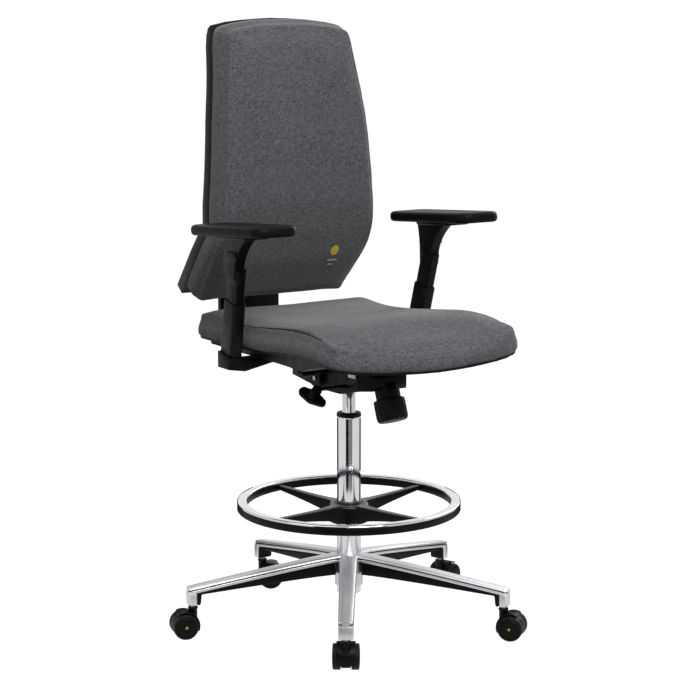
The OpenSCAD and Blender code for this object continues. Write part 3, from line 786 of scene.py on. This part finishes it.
def leg_section(x):
    w = leg_half_width(x)
    top = height_on(LEG_TOP, x)
    half = [(w - 1.6, -RAIL), (w - 0.4, -RAIL + 0.6), (w, -RAIL + 1.8), (w, -7.6), (w - 0.4, -7.0)]
    half += [(w - 3.0, -6.8), (w - 3.0, -4.8), (w - 0.8, -4.6), (w - 0.8, -3.6), (w - 2.0, -1.6)]
    half += [(w - 4.2, -0.4), (w / 3, 0)]
    return [(x, y, top + z) for y, z in both_sides(half)]


leg_pieces = []
for way in LEG_WAYS:
    turn = about("Z", way)
    leg = loft("leg", [leg_section(x) for x in STATIONS], cast_aluminium, matrix=turn)
    # The groove's faces get black nylon: painted shade in the groove of the polished casting.
    leg.data.materials.append(black_nylon)
    for face in leg.data.polygons:
        depths = sorted(height_on(LEG_TOP, v.xy.length / MM) - v.z / MM
                        for v in (leg.data.vertices[i].co for i in face.vertices))
        if len(face.vertices) == 4 and 4.4 < depths[0] and depths[-1] < 7.2:
            face.material_index = 1
    leg_pieces.append(leg)
    boss_place = turn @ at(336 * MM, 0, 0)
    layers = []
    for inset, z in ((1.2, 68), (0.4, 68.6), (0, 69.6), (0, 93.6), (0.5, 94.4)):
        ring = rounded(18.6 - 2 * inset, 30.8 - 2 * inset, 5 - inset, 5)
        layers.append([(x, y, z) for x, y in ring])
    leg_pieces.append(loft("tip", layers, cast_aluminium, matrix=boss_place))
HUB = [(25.1, 84), (29, 84.5), (29, 120), (29, 140), (28.8, 146), (27.8, 148.6), (26, 149.6)]
HUB += [(25.1, 149.6)]
leg_pieces.append(lathe("hub", HUB, cast_aluminium))
star = joined("star_casting", leg_pieces)
finish_piece(star, "base", "alloy", "base_star")
print("star base:", len(star.data.vertices), "vertices")

# %% [markdown]
# Under each leg a black moulding fills the hollow of the casting. It is deepest at the hub, where
# the leg bends most. It is a flat outline given a width, with its edges rounded.

# %% Leg infills
INFILL_HALF = 15.5
infills = []
for way in LEG_WAYS:
    under = [(x, height_on(LEG_TOP, x) - RAIL) for x in STATIONS if 32 <= x <= 320]
    lower = curve_points((32, 108.5), (90, 108), (318, 90), 14)
    outline = under + [(327, 92), (327, 69), (326, 68), (322, 68), (320, 72), (319, 82)] + lower[::-1]
    ends = [[(x, y, z) for x, z in outline] for y in (-INFILL_HALF, INFILL_HALF)]
    infills.append(bevelled(loft("infill", ends, black_nylon, matrix=about("Z", way)), 1.6 * MM, 3, 50))
infill = joined("leg_infill_mouldings", infills)
finish_piece(infill, "base", "black_plastic", "base_leg_infills")
print("leg infills:", len(infills))

# %% [markdown]
# The gas lift is drawn steel tube, turned at its ends and plated. A tube with square ends looks
# false, so the lip, the collar and the rod get small chamfers that catch the light.

# %% Gas lift
def turned(name, profile, material, body, slot, *nodes, steps=128):
    return finish_piece(lathe(name, profile, material, steps), body, slot, *nodes)


TUBE = [(23.5, 68), (24.6, 68), (25, 68.6), (25, 438), (24.9, 440), (24.4, 441), (23.5, 441), (23.5, 68)]
turned("column_tube", TUBE, chrome_plate, "base", "chrome", "lift_outer_tube")
COLLAR = [(14.3, 441), (25.2, 441), (25.6, 441.6), (25.6, 446), (24.6, 448.8), (22, 449.6), (16, 450)]
COLLAR += [(14.6, 449.6), (14.3, 449), (14.3, 441)]
turned("column_collar", COLLAR, black_nylon, "base", "black_plastic", "lift_tube_collar")
ROD = [(12.4, 122), (13.6, 122), (14, 122.5), (14, 537.5), (13.6, 538), (3.1, 538)]
turned("pressure_tube", ROD, chrome_plate, "mechanism", "chrome", "lift_pressure_tube")
print("gas lift turned")

# %% [markdown]
# A sitter this high needs somewhere to put their feet. The ring is black nylon with a bright
# strip let into its top, where shoes rub, and it grips the tube by a collet. All three are round,
# so a lathe makes them.

# %% Foot ring, strip and collet
RIM = [(212.8, 246), (231.2, 246), (232, 247), (232, 261.2), (231.4, 262), (212.6, 262), (212, 261.2)]
RIM += [(212, 247), (212.8, 246)]
turned("ring_rim", RIM, black_nylon, "foot_ring", "black_plastic", "footring_rim", steps=192)
TRIM = [(212, 262), (232, 262), (232, 263.6), (231, 265.2), (229, 266), (215, 266), (213, 265.2)]
TRIM += [(212, 263.6), (212, 262)]
turned("ring_bright_strip", TRIM, chrome_plate, "foot_ring", "chrome", "footring_trim", steps=192)
COLLET = [(25.05, 219), (30, 219), (31, 219.6), (31, 257), (30, 258), (26, 258), (25.05, 257.4)]
COLLET += [(25.05, 219)]
turned("ring_collet", COLLET, black_nylon, "foot_ring", "black_plastic", "footring_collet")


print("foot ring turned")

# %% [markdown]
# Four spokes carry the ring, and each flares into the round nave. Faces that look up get the
# graphite paint and the rest stay black: the black on the sides and undersides is painted shade.
# The sections are placed closer together near the nave, where the width changes fastest.

# %% Spider
SPOKE_WIDTHS = [(26, 21), (36, 15.5), (46, 12.2), (58, 10.2), (70, 8.5), (212, 5)]


def painted_shade_below_tops(piece, least):
    """Gives the faces that look up, those whose normal has at least this z, the graphite paint; the faces
    left black are painted shade.
    """
    piece.data.materials.append(satin_paint)
    for face in piece.data.polygons:
        if face.normal.z > least:
            face.material_index = 1


SPOKE_TOP = curve_points((26, 258), (70, 255), (212, 260), 20)
SPOKE_UNDER = curve_points((26, 221), (90, 237), (212, 250), 20)
spokes = []
for k in range(4):
    sections = []
    for i in range(25):
        x = 33 + (212 - 33) * (i / 24) ** 1.5
        w = height_on(SPOKE_WIDTHS, x)
        top, low = height_on(SPOKE_TOP, x), height_on(SPOKE_UNDER, x)
        half = [(w - 1.5, low), (w, low + 1.5), (w, top - 1.6), (w - 0.8, top - 0.4), (w - 2.4, top)]
        sections.append([(x, y, z) for y, z in both_sides(half)])
    spoke = loft("spoke", sections, black_nylon, matrix=about("Z", SPOKE_TURN + 90 * k))
    # The upper faces get the paint; the black left on the sides and undersides is painted shade.
    painted_shade_below_tops(spoke, 0.55)
    spokes.append(spoke)
NAVE = [(31, 219), (40, 219), (41, 220), (41, 250), (40.6, 254), (38.4, 257), (35, 258), (31, 258)]
nave = lathe("nave", NAVE + NAVE[:1], black_nylon, 128)
painted_shade_below_tops(nave, 0.4)
spider = joined("ring_spider", [nave, *spokes])
finish_piece(spider, "foot_ring", "satin_grey", "footring_spider")
print("spider:", len(spider.data.vertices), "vertices")

# %% [markdown]
# A twin castor has a hood with a web between its two wheels, and its stem stands ahead of the
# axle, which makes it trail. Each wheel is a charcoal tread moulded on a black disc, with a
# small printed dot. The wheels are turned and the hood is an arc of one flat section.

# %% Castor sizes and hood
WHEEL_R = 26
TRAIL = 19
GAP = 21
CASTOR_THREE_WAY = -32
TREAD = [(21.8, 0.4), (24.6, 0), (25.6, 0.8), (26, 2.6), (26, 12.6), (25.5, 14.4), (24.3, 15.6), (22.8, 16)]
TREAD += [(21.8, 15.6), (21.8, 0.4)]
DISC = [(4.05, 0.6), (21.8, 0.6), (21.8, 15.2), (20.4, 14.8), (19.4, 15), (18.6, 16), (17.6, 16.5)]
DISC += [(10, 16.9), (0.02, 17)]
DOT = [(2.9, 16.95), (2.8, 17.15), (2.4, 17.2), (0.02, 17.2)]


def castor_matrix(number):
    way = LEG_WAYS[number - 1]
    turn = {1: way + 180, 3: CASTOR_THREE_WAY}.get(number, way)
    stem = about("Z", way) @ at(STEM_AT, 0, 0)
    place = Matrix.Translation(stem.to_translation())
    return place @ about("Z", turn)


def hood_arc(name, matrix):
    sections = []
    for i in range(29):
        a = math.radians(62 + (203 - 62) * i / 28)
        ring = []
        for y, r in rounded(38, 3.2, 1.2, 3):
            reach = 28.8 + r
            x = TRAIL + reach * math.cos(a)
            ring.append((x, y, WHEEL_R + reach * math.sin(a)))
        sections.append(ring)
    return loft(name, sections, black_nylon, matrix=matrix)


def hood_web(name, matrix):
    outline = []
    for i in range(41):
        a = math.radians(-25 + 240 * i / 40)
        r = 25.4 if a < math.radians(62) else 28.5
        outline.append((TRAIL + r * math.cos(a), WHEEL_R + r * math.sin(a)))
    ends = [[(x, y, z) for x, z in outline] for y in (-9.4, 9.4)]
    return bevelled(loft(name, ends, black_nylon, matrix=matrix), 0.8 * MM, 2)


# %% [markdown]
# At rest each castor points its own way, as they do once a chair has been rolled. One loop makes
# all five, and the hood and the wheels are separate pieces, because the wheels roll in the hood.

# %% Castors
NECK = [(5.6, 40), (8.6, 40), (9, 41), (9, 58), (10.2, 59.6), (10.2, 62.2), (9.6, 63), (5.6, 63)]
NECK += NECK[:1]
for number in range(1, 6):
    place = castor_matrix(number)
    parts = [lathe("neck", NECK, black_nylon, 48, place), hood_arc("arc", place), hood_web("web", place)]
    hood = joined(f"castor_{number}_cover", parts)
    finish_piece(hood, f"castor_{number}", "black_plastic", f"castor_{number}_hood")
    wheel_pieces = []
    for sign in (1, -1):
        turn = about("X", -90 * sign)
        axle = place @ at(TRAIL * MM, sign * GAP / 2 * MM, WHEEL_R * MM) @ turn
        wheel_pieces.append(lathe("tread", TREAD, tyre_nylon, 72, axle))
        wheel_pieces.append(lathe("disc", DISC, black_nylon, 72, axle))
        wheel_pieces.append(lathe("dot", DOT, yellow_print, 24, axle))
    wheels = joined(f"castor_{number}_wheel_pair", wheel_pieces)
    finish_piece(wheels, f"castor_{number}_wheels", "wheel_tread", f"castor_{number}_wheels")
print("castors made")

# %% [markdown]
# Each arm slides up and down in a sleeve that leans back and splays out a little. The sleeve
# belongs to the seat, and the stem, its T-shaped head, the pad and the latch move. Both arms are
# mirror images, so a sign of 1 or -1 turns one description into both.

# %% Arm sizes
SLEEVE_H = 115
ARM_X = 0.240


def arm_matrix(sign):
    place = at(sign * 0.225, 0.092, 0.5775)
    splay = about("Y", 2.5 * sign)
    lean = about("X", 14)
    return place @ splay @ lean


def ring_at(width, depth, radius, height):
    return [(x, y, height) for x, y in rounded(width, depth, radius)]


ARM_HEAD = curve_points((87, 822), (78, 800), (76, 766), 8) + [(75, 735), (37, 735)]
ARM_HEAD += curve_points((34, 765), (20, 806), (-26, 830), 14)
PAD_TILT = about("X", -4.25)


# %% [markdown]
# The sleeve is an open rounded box, so its sections run up the outside and back down the inside.
# The stem, the head, the flange and a steel strip are joined, since they are one moulded part.

# %% Sleeve and post
def sleeve_and_post(side, sign):
    arm = arm_matrix(sign)
    outer = [(27.4, 45.4, 7.2, 0), (29, 47, 8, 1), (29, 47, 8, SLEEVE_H - 1.2), (28, 46, 7.5, SLEEVE_H)]
    inner = [(24.2, 42.2, 6.4, SLEEVE_H), (23.4, 41.4, 6.1, SLEEVE_H - 1.2), (23.4, 41.4, 6.1, 60)]
    sections = [ring_at(*row) for row in outer + inner]
    sleeve = loft("sleeve", sections, black_nylon, matrix=arm)
    sleeve.name = f"arm_guide_{side}"
    finish_piece(sleeve, "seat", "black_plastic", f"arm_sleeve_{side}")

    stem = loft("stem", [ring_at(22, 40, 5.5, 40), ring_at(23, 41, 6, 42), ring_at(23, 41, 6, 188)],
                black_nylon, matrix=arm)
    shift = at(sign * 0.235, 0, 0)
    head = bevelled(prism("head", ARM_HEAD, -11.5, 11.5, black_nylon, shift), 3.2 * MM, 4, 50)
    flange_place = at(sign * ARM_X, 0.015, 0.8246) @ PAD_TILT
    flange = loft("flange", [ring_at(52, 124, 10, -3), ring_at(56, 128, 12, -1), ring_at(56, 128, 12, 3)],
                  black_nylon, matrix=flange_place)
    strip_place = arm @ at(sign * 11.4 * MM, -2 * MM, 0)
    strip = loft("strip", [ring_at(1.6, 15, 0.7, 62), ring_at(1.6, 15, 0.7, 150)], black_powder,
                 matrix=strip_place)
    post = joined(f"arm_post_{side}", [stem, head, flange, strip])
    finish_piece(post, f"arm_{side}", "black_plastic", f"arm_stem_{side}")


# %% [markdown]
# The pad is foam with its own skin, moulded in one piece, so its edge is a full soft round. It is
# a stack of rounded plates, each a little smaller. The latch is a small block let into the head.

# %% Pad and latch
def pad_and_latch(side, sign):
    rows = [(12, -11), (6, -10.6), (2.6, -9), (0.7, -6), (0, -2.5), (0, 3), (0.9, 6), (2.6, 8.4)]
    rows += [(5.4, 10), (9.5, 10.8), (16, 11), (26, 10.7)]
    layers = [ring_at(100 - 2 * i, 290 - 2 * i, max(28 - i, 2), z) for i, z in rows]
    pad_place = at(sign * ARM_X, 0.013, 0.839) @ PAD_TILT
    pad = loft(f"arm_cushion_{side}", layers, soft_skin, matrix=pad_place)
    smooth(pad, 60)
    finish_piece(pad, f"arm_{side}", "soft_pad", f"arm_pad_{side}")

    button_place = at(sign * 0.245, 0.045, 0.787)
    block = loft("latch", [ring_at(8.6, 34, 1.5, -6), ring_at(8.6, 34, 1.5, 6)], black_powder,
                 matrix=button_place)
    latch = bevelled(block, 0.8 * MM, 2, 50)
    latch.name = f"arm_latch_{side}"
    finish_piece(latch, f"arm_button_{side}", "black_plastic", f"arm_button_{side}")


for side, sign in (("left", 1), ("right", -1)):
    sleeve_and_post(side, sign)
    pad_and_latch(side, sign)
print("arms made")

# %% [markdown]
# Under the seat hang the ribbed tension knob, the height paddle and the lock lever. The knob's
# hollows are a cosine round its rim, which dies out at both ends as on a moulded grip. The two
# levers are soft shapes already, so a copy of each is remeshed and eased.

# %% Controls
KNOB_TILT = 21
knob_turn = about("X", 180 - KNOB_TILT)
knob_place = at(0, -0.145, 0.516) @ knob_turn
RIBS = 20
RIB_DEPTH = 1.6
KNOB = [(24, 16.5, 0), (30, 16.6, 0), (31.6, 17.8, 0), (32, 20, 0.3), (32, 26, 1), (32, 52, 1)]
KNOB += [(31, 57, 0.8), (28.5, 60.6, 0.3), (26, 61.4, 0), (10, 61.5, 0)]
rings = []
for r, z, share in KNOB:
    ring = []
    for i in range(RIBS * 8):
        a = 2 * math.pi * i / (RIBS * 8)
        dip = max(0.0, math.cos(a * RIBS)) ** 0.6
        reach = r - RIB_DEPTH * share * dip
        ring.append((reach * math.cos(a), reach * math.sin(a), z))
    rings.append(ring)
knob = loft("tension_grip", rings, black_nylon, matrix=knob_place)
finish_piece(knob, "tension_knob", "black_plastic", "tension_knob")

EASED = [
    ("lift_lever", "height_paddle", 1.3, 4, "lift_lever"),
    ("lock_lever", "lock_paddle", 1.3, 3, "lock_lever"),
]
for node, name, voxel, eased, body in EASED:
    piece = copy_of(node, name, voxel, eased)
    cover(piece, black_nylon)
    smooth(piece, 180)
    finish_piece(piece, body, "black_plastic", node)
print("controls made")

# %% [markdown]
# A plain mark is embroidered low on the back cushion: a dot with two bars below it. Stitching
# stands a little proud of the cloth, so each shape is laid on the skin and lifted slightly.

# %% Stitched mark
MARK_X = 101
MARK_Z = 753
DOT_R = 10


def patch(name, shape, material, lift, drop=0):
    """A small flat shape, given as (x, z) in mm round its centre, laid on the cushion's front."""
    middle = (MARK_X, MARK_Z + drop)
    layers = [[(x * s + middle[0], z * s + middle[1]) for x, z in shape] for s in (0.02, 0.35, 0.7, 1.0)]
    made = []
    for layer in layers:
        points = [(x * MM, (height_on(BACK_DEPTHS, z) - 6) * MM, z * MM) for x, z in layer]
        made.append([p / MM for p in lying_on(back_cushion, points, lift * MM)])
    return loft(name, made, material)


around = [i / 24 * 2 * math.pi for i in range(24)]
disc = [(DOT_R * math.cos(a), DOT_R * math.sin(a)) for a in around]
dot = patch("stitched_dot", disc, yellow_thread, 0.8)
finish_piece(dot, "backrest", "fabric")
for row, width in ((0, 24), (1, 15)):
    bar = patch(f"stitched_bar_{row + 1}", rounded(width, 5, 2, 3), pale_thread, 2.4, -19 - 10 * row)
    finish_piece(bar, "backrest", "fabric")
print("mark stitched")

# %% [markdown]
# The camera stands well back at the chair's right front and looks slightly down. A long lens from
# far away keeps upright lines nearly parallel, as a catalogue view does.

# %% Camera
camera_data = bpy.data.cameras.new("studio_camera")
camera = placed("studio_camera", camera_data)
camera_data.sensor_width = 36
camera_data.lens = 112.22
camera_data.shift_x = 0.0016
camera_data.clip_end = 50
camera.location = (-2.3374, -3.7406, 1.341)
camera.rotation_euler = (math.radians(80.193), 0, math.radians(-32))
scene.camera = camera
print("camera at", tuple(camera.location))

# %% [markdown]
# Large lights give soft shadows, because each point of the floor still sees part of the lamp.
# Most of the light comes from the front, high up, so the back's face is bright and the sides of
# the cushions fall off. A low air light fills the shadows, and polished parts see it brighter.

# %% Soft lights and air
def soft_light(name, place, aim, size, watts):
    light = bpy.data.lights.new(name, "AREA")
    light.shape = "RECTANGLE"
    light.size = size[0]
    light.size_y = size[1]
    light.energy = watts
    lamp = placed(name, light)
    lamp.location = place
    lamp.rotation_euler = (Vector(aim) - Vector(place)).to_track_quat("-Z", "Y").to_euler()
    return lamp


soft_light("overhead_softbox", (-0.6, -0.4, 3.2), (0, 0, 0.7), (4.0, 4.0), 38)
soft_light("front_softbox", (-0.7, -3.2, 3.3), (0, 0.1, 1.3), (2.2, 1.4), 118)
soft_light("left_softbox", (-3.2, -1.2, 1.9), (0, 0, 0.8), (1.4, 2.4), 2)
soft_light("right_rim_softbox", (2.8, 1.2, 1.8), (0, 0, 0.7), (1.0, 2.4), 35)

world = bpy.data.worlds.new("studio_air")
scene.world = world
world.use_nodes = True
air = world.node_tree
air.nodes.clear()
rays = add_node(air, "ShaderNodeLightPath").outputs
shares = {1: 0.4, 2: 0.24}
gain = add_node(air, "ShaderNodeMath", {0: rays["Is Glossy Ray"]}, shares, operation="MULTIPLY_ADD")
lit = add_node(air, "ShaderNodeBackground", {"Strength": gain.outputs[0]}, {"Color": (1, 1, 1, 1)})
seen = add_node(air, "ShaderNodeBackground", None, {"Color": (1, 1, 1, 1), "Strength": 1.02})
sides = {0: rays["Is Camera Ray"], 1: lit.outputs["Background"], 2: seen.outputs["Background"]}
either = add_node(air, "ShaderNodeMixShader", sides)
out = add_node(air, "ShaderNodeOutputWorld")
air.links.new(either.outputs["Shader"], out.inputs["Surface"])


print("lights:", [lamp.name for lamp in bpy.data.lights])

# %% [markdown]
# Bright metal shows nothing but its surroundings, so a studio places cards round it. The dark
# bands down a tube are black cards, and the white between them is paper. These cards are seen
# in reflections alone: they throw no light and no shadow.

# %% Reflection cards
CAMERA_WAY = -122
CARD_DISTANCE = 0.62


def glow(name, shade):
    material = bpy.data.materials.new(name)
    material.use_nodes = True
    tree = material.node_tree
    tree.nodes.clear()
    light = add_node(tree, "ShaderNodeEmission", None, {"Color": (1, 1, 1, 1), "Strength": shade})
    out = add_node(tree, "ShaderNodeOutputMaterial")
    tree.links.new(light.outputs["Emission"], out.inputs["Surface"])
    return material


def reflection_card(name, off_camera, spread_degrees, low, high, shade, distance=CARD_DISTANCE):
    """An upright card seen only in gloss, off_camera degrees round the column from the camera."""
    way = math.radians(CAMERA_WAY + off_camera)
    half = distance * math.tan(math.radians(spread_degrees / 2))
    verts = [(-half, 0, low), (half, 0, low), (half, 0, high), (-half, 0, high)]
    card = new_piece(name, verts, [(0, 1, 2, 3)], glow(name + "_paper", shade))
    card.location = (distance * math.cos(way), distance * math.sin(way), 0)
    card.rotation_euler = (0, 0, way + math.pi / 2)
    card.visible_camera = False
    card.visible_diffuse = False
    card.visible_shadow = False
    card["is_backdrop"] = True


reflection_card("black_card_front", -15, 28, 0.0, 0.42, 0.01)
reflection_card("grey_card_front", 16, 32, 0.0, 0.42, 0.22)
reflection_card("black_card_rear_left", -138, 40, 0.0, 0.34, 0.02)
reflection_card("black_card_rear_right", 138, 40, 0.0, 0.34, 0.02)
reflection_card("white_backdrop", 180, 70, 0.0, 3.0, 0.92, 3.4)

print("reflection cards placed")

# %% [markdown]
# The floor is pale paper. To the camera it glows, so that it runs into the background with only
# a breath of shadow. To reflections it is plain white, and the light it throws up is dimmed.

# %% Floor
floor_material, tree, place = start_material("white_studio_floor")
path = add_node(tree, "ShaderNodeLightPath").outputs
pale = tinted(tree, noise(tree, place, 30, 2), "#f4f4f4", "#ffffff")
dim = tinted(tree, noise(tree, place, 30, 2), "#8c8c8c", "#949494")
open_floor = add_node(tree, "ShaderNodeBsdfDiffuse", {"Color": pale})
shine = add_node(tree, "ShaderNodeEmission", None, {"Color": (1, 1, 1, 1), "Strength": 1.34})
sides = {1: open_floor.outputs[0], 2: shine.outputs[0]}
seen_floor = add_node(tree, "ShaderNodeMixShader", sides, {"Fac": 0.72})
dim_floor = add_node(tree, "ShaderNodeBsdfDiffuse", {"Color": dim})
gloss_floor = add_node(tree, "ShaderNodeEmission", None, {"Color": (1, 1, 1, 1), "Strength": 0.8})
unseen = {0: path["Is Glossy Ray"], 1: dim_floor.outputs[0], 2: gloss_floor.outputs[0]}
unseen_floor = add_node(tree, "ShaderNodeMixShader", unseen)
sides = {0: path["Is Camera Ray"], 1: unseen_floor.outputs[0], 2: seen_floor.outputs[0]}
whole = add_node(tree, "ShaderNodeMixShader", sides)
out = add_node(tree, "ShaderNodeOutputMaterial")
tree.links.new(whole.outputs["Shader"], out.inputs["Surface"])
REACH = 30
corners = [(-REACH, -REACH, 0), (REACH, -REACH, 0), (REACH, REACH, 0), (-REACH, REACH, 0)]
floor = new_piece("studio_floor", corners, [(0, 1, 2, 3)], floor_material)
floor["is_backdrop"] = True
scene.view_settings.view_transform = "Standard"
scene.view_settings.exposure = 0.0
print("floor set")

# %% [markdown]
# Dressing must not change the size of the chair. So the box of the dressed chair is printed.

# %% Size and finish
low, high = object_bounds()
print("visual box", tuple(low), tuple(high))
